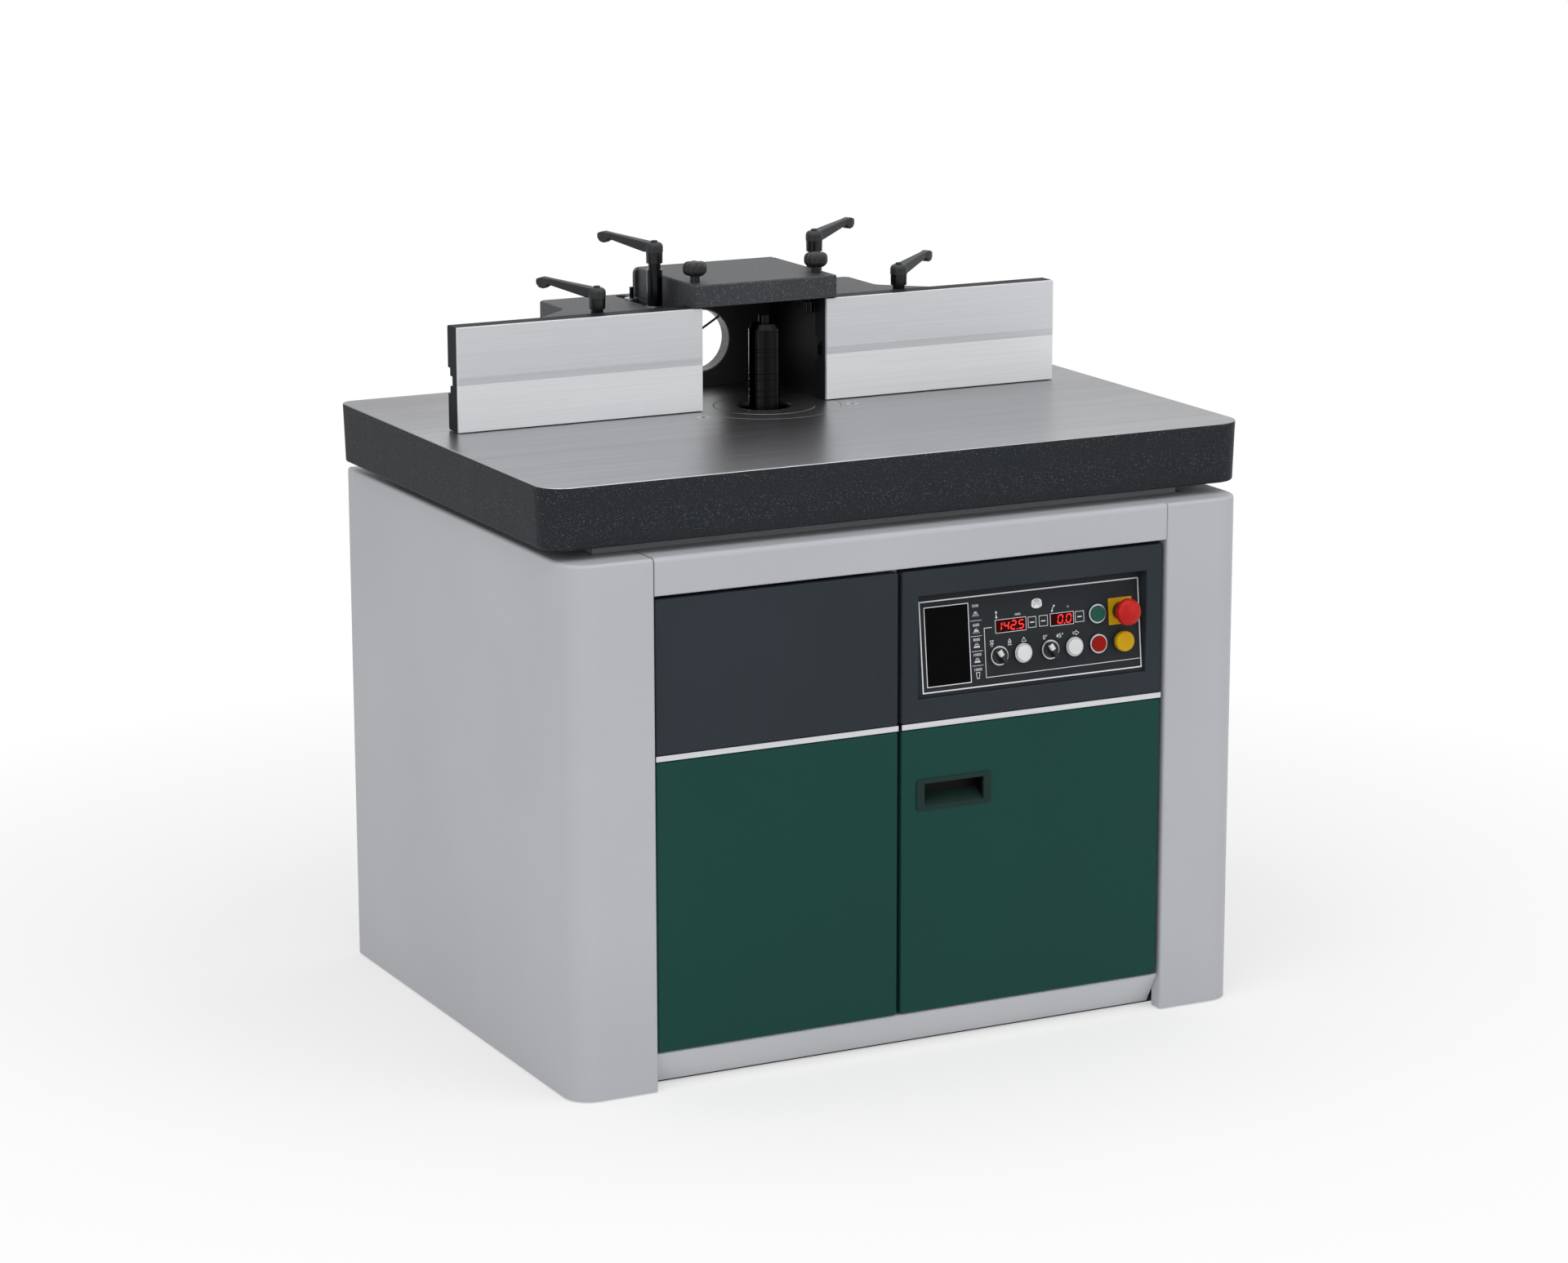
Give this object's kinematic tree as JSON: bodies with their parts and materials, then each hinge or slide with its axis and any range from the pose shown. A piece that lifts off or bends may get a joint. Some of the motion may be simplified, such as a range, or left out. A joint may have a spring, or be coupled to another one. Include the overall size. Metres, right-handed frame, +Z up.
{
  "type": "spindle moulder",
  "caption": "Floor-standing spindle moulder: ribbed table on a steel cabinet, tilting and rising spindle, split fence with clamp levers, chip hood and a slanted control panel.",
  "frame": {"origin": "floor point directly below the upright spindle axis", "axes": "+X to the operator's right, +Y towards the back, +Z up"},
  "size_m": [1.1436, 0.8438, 1.1461],
  "materials": {
    "side_paint": "light grey powder coat",
    "green_paint": "dark green powder coat",
    "dark_paint": "dark slate powder coat",
    "trim": "light satin strip",
    "frame_paint": "dark frame paint",
    "table_iron": "ground top, painted skirt",
    "ring_iron": "ground",
    "fence_casting": "textured dark coat",
    "fence_facing": "brushed",
    "fence_backing": "black anodised",
    "black_plastic": "black",
    "black_oxide": "black oxide",
    "bright_steel": "machined",
    "pulley_metal": "turned",
    "cast_grey": "painted casting",
    "motor_paint": "motor paint",
    "belt_rubber": "matt",
    "plate_print": "printed dark plate",
    "window": "dark glossy",
    "bezel": "satin dark",
    "legend": "yellow",
    "green_cap": "green",
    "red_cap": "red",
    "yellow_cap": "yellow",
    "white_cap": "white",
    "box_paint": "light grey"
  },
  "bodies": {
    "machine": {"base_plate": "frame_paint", "chassis_frame": "frame_paint", "left_side_panel": "side_paint", "right_side_panel": "side_paint", "back_panel": "side_paint", "front_rail": "side_paint", "plinth": "side_paint", "upper_left_panel": "dark_paint", "lower_left_panel": "green_paint", "control_housing": "dark_paint", "trim_strips": "trim", "control_plate": "plate_print", "panel_windows": "window", "control_bezels": "bezel", "stop_legend": "legend", "table": "table_iron", "table_rings": "ring_iron", "trunnion_brackets": "frame_paint", "tilt_motor": "motor_paint", "electrics": "box_paint", "door_fittings": "bright_steel", "clamp_posts": "black_oxide", "fasteners": "bright_steel"},
    "fence": {"fence_housing": "fence_casting", "dust_spigot": "bright_steel", "fence_fittings": "black_oxide"},
    "hood": {"hood_lid": "fence_casting"},
    "left_knob": {"left_hood_knob": "black_plastic"},
    "right_knob": {"right_hood_knob": "black_plastic"},
    "left_plate": {"left_fence_face": "fence_facing", "left_fence_backing": "fence_backing"},
    "right_plate": {"right_fence_face": "fence_facing", "right_fence_backing": "fence_backing"},
    "left_outer": {"left_outer_lever": "black_plastic"},
    "right_outer": {"right_outer_lever": "black_plastic"},
    "left_inner": {"left_inner_lever": "black_plastic"},
    "right_inner": {"right_inner_lever": "black_plastic"},
    "door": {"service_door": "green_paint", "door_pull": "black_plastic"},
    "tilt_unit": {"tilt_frame": "frame_paint", "lift_guides": "bright_steel"},
    "pinion": {"tilt_pinion": "bright_steel"},
    "lift_unit": {"spindle_carriage": "cast_grey", "main_motor": "motor_paint", "lift_gearbox": "cast_grey", "spindle_bearings": "bright_steel", "drive_belt": "belt_rubber"},
    "spindle": {"spindle_shaft": "bright_steel", "spacer_rings": "black_oxide", "spindle_cap": "black_oxide", "spindle_pulley": "pulley_metal"},
    "rotor": {"motor_pulley": "pulley_metal"},
    "green_button": {"green_button": "green_cap"},
    "red_button": {"red_button": "red_cap"},
    "yellow_button": {"yellow_button": "yellow_cap"},
    "rise_button": {"rise_button": "white_cap"},
    "tilt_button": {"tilt_button": "white_cap"},
    "stop_button": {"stop_button": "red_cap"},
    "rise_selector": {"rise_selector": "black_plastic"},
    "tilt_selector": {"tilt_selector": "black_plastic"}
  },
  "joints": [
    {"name": "fence_slide", "type": "slide", "parent": "machine", "child": "fence", "axis": [0, 1, 0], "range_m": [-0.04, 0.04]},
    {"name": "hood_lift", "type": "slide", "parent": "fence", "child": "hood", "axis": [0, 0, 1], "range_m": [0, 0.12]},
    {"name": "left_knob_turn", "type": "hinge", "parent": "hood", "child": "left_knob", "pos_m": [-0.103, 0.027, 1.1], "axis": [0, 0, 1], "continuous": true},
    {"name": "left_plate_slide", "type": "slide", "parent": "fence", "child": "left_plate", "axis": [1, 0, 0], "range_m": [-0.04, 0.07]},
    {"name": "left_outer_turn", "type": "hinge", "parent": "fence", "child": "left_outer", "pos_m": [-0.2572, 0.0462, 1.06], "axis": [0, 0, 1], "range_deg": [-90, 90]},
    {"name": "left_inner_turn", "type": "hinge", "parent": "machine", "child": "left_inner", "pos_m": [-0.1368, 0.0987, 1.11], "axis": [0, 0, 1], "range_deg": [-20, 100]},
    {"name": "right_knob_turn", "type": "hinge", "parent": "hood", "child": "right_knob", "pos_m": [0.103, 0.027, 1.1], "axis": [0, 0, 1], "continuous": true},
    {"name": "right_plate_slide", "type": "slide", "parent": "fence", "child": "right_plate", "axis": [1, 0, 0], "range_m": [-0.07, 0.04]},
    {"name": "right_outer_turn", "type": "hinge", "parent": "fence", "child": "right_outer", "pos_m": [0.2572, 0.0462, 1.06], "axis": [0, 0, 1], "range_deg": [-90, 90]},
    {"name": "right_inner_turn", "type": "hinge", "parent": "machine", "child": "right_inner", "pos_m": [0.1368, 0.0987, 1.11], "axis": [0, 0, 1], "range_deg": [-100, 50]},
    {"name": "door_hinge", "type": "hinge", "parent": "machine", "child": "door", "pos_m": [0.4105, -0.469, 0.27], "axis": [0, 0, 1], "range_deg": [0, 100]},
    {"name": "tilt", "type": "hinge", "parent": "machine", "child": "tilt_unit", "pos_m": [0, 0, 0.886], "axis": [-1, 0, 0], "range_deg": [0, 45]},
    {"name": "pinion_turn", "type": "hinge", "parent": "machine", "child": "pinion", "pos_m": [0, -0.11, 0.67912], "axis": [-1, 0, 0], "range_deg": [-541, 1]},
    {"name": "rise", "type": "slide", "parent": "tilt_unit", "child": "lift_unit", "axis": [0, 0, 1], "range_m": [-0.125, 0.015]},
    {"name": "spindle_spin", "type": "hinge", "parent": "lift_unit", "child": "spindle", "pos_m": [0, 0, 0.72], "axis": [0, 0, 1], "continuous": true},
    {"name": "motor_spin", "type": "hinge", "parent": "lift_unit", "child": "rotor", "pos_m": [0, 0.19, 0.6], "axis": [0, 0, 1], "continuous": true},
    {"name": "green_button_push", "type": "slide", "parent": "machine", "child": "green_button", "axis": [0, 0.994, -0.1097], "range_m": [0, 0.0035], "stiffness_N_per_m": 1500, "springref_m": -0.001},
    {"name": "red_button_push", "type": "slide", "parent": "machine", "child": "red_button", "axis": [0, 0.994, -0.1097], "range_m": [0, 0.0035], "stiffness_N_per_m": 1500, "springref_m": -0.001},
    {"name": "yellow_button_push", "type": "slide", "parent": "machine", "child": "yellow_button", "axis": [0, 0.994, -0.1097], "range_m": [0, 0.0035], "stiffness_N_per_m": 1500, "springref_m": -0.001},
    {"name": "rise_button_push", "type": "slide", "parent": "machine", "child": "rise_button", "axis": [0, 0.994, -0.1097], "range_m": [0, 0.0035], "stiffness_N_per_m": 1500, "springref_m": -0.001},
    {"name": "tilt_button_push", "type": "slide", "parent": "machine", "child": "tilt_button", "axis": [0, 0.994, -0.1097], "range_m": [0, 0.0035], "stiffness_N_per_m": 1500, "springref_m": -0.001},
    {"name": "stop_button_push", "type": "slide", "parent": "machine", "child": "stop_button", "axis": [0, 0.994, -0.1097], "range_m": [0, 0.004], "stiffness_N_per_m": 1500, "springref_m": -0.001},
    {"name": "rise_selector_turn", "type": "hinge", "parent": "machine", "child": "rise_selector", "pos_m": [0.1472, -0.46793, 0.57924], "axis": [0, -0.994, 0.1097], "range_deg": [-60, 0]},
    {"name": "tilt_selector_turn", "type": "hinge", "parent": "machine", "child": "tilt_selector", "pos_m": [0.2336, -0.46793, 0.57924], "axis": [0, -0.994, 0.1097], "range_deg": [-60, 0]}
  ],
  "couplings": [
    {"joint": "pinion_turn", "follows": "tilt", "ratio": -12},
    {"joint": "spindle_spin", "follows": "motor_spin", "ratio": 2.2424}
  ]
}
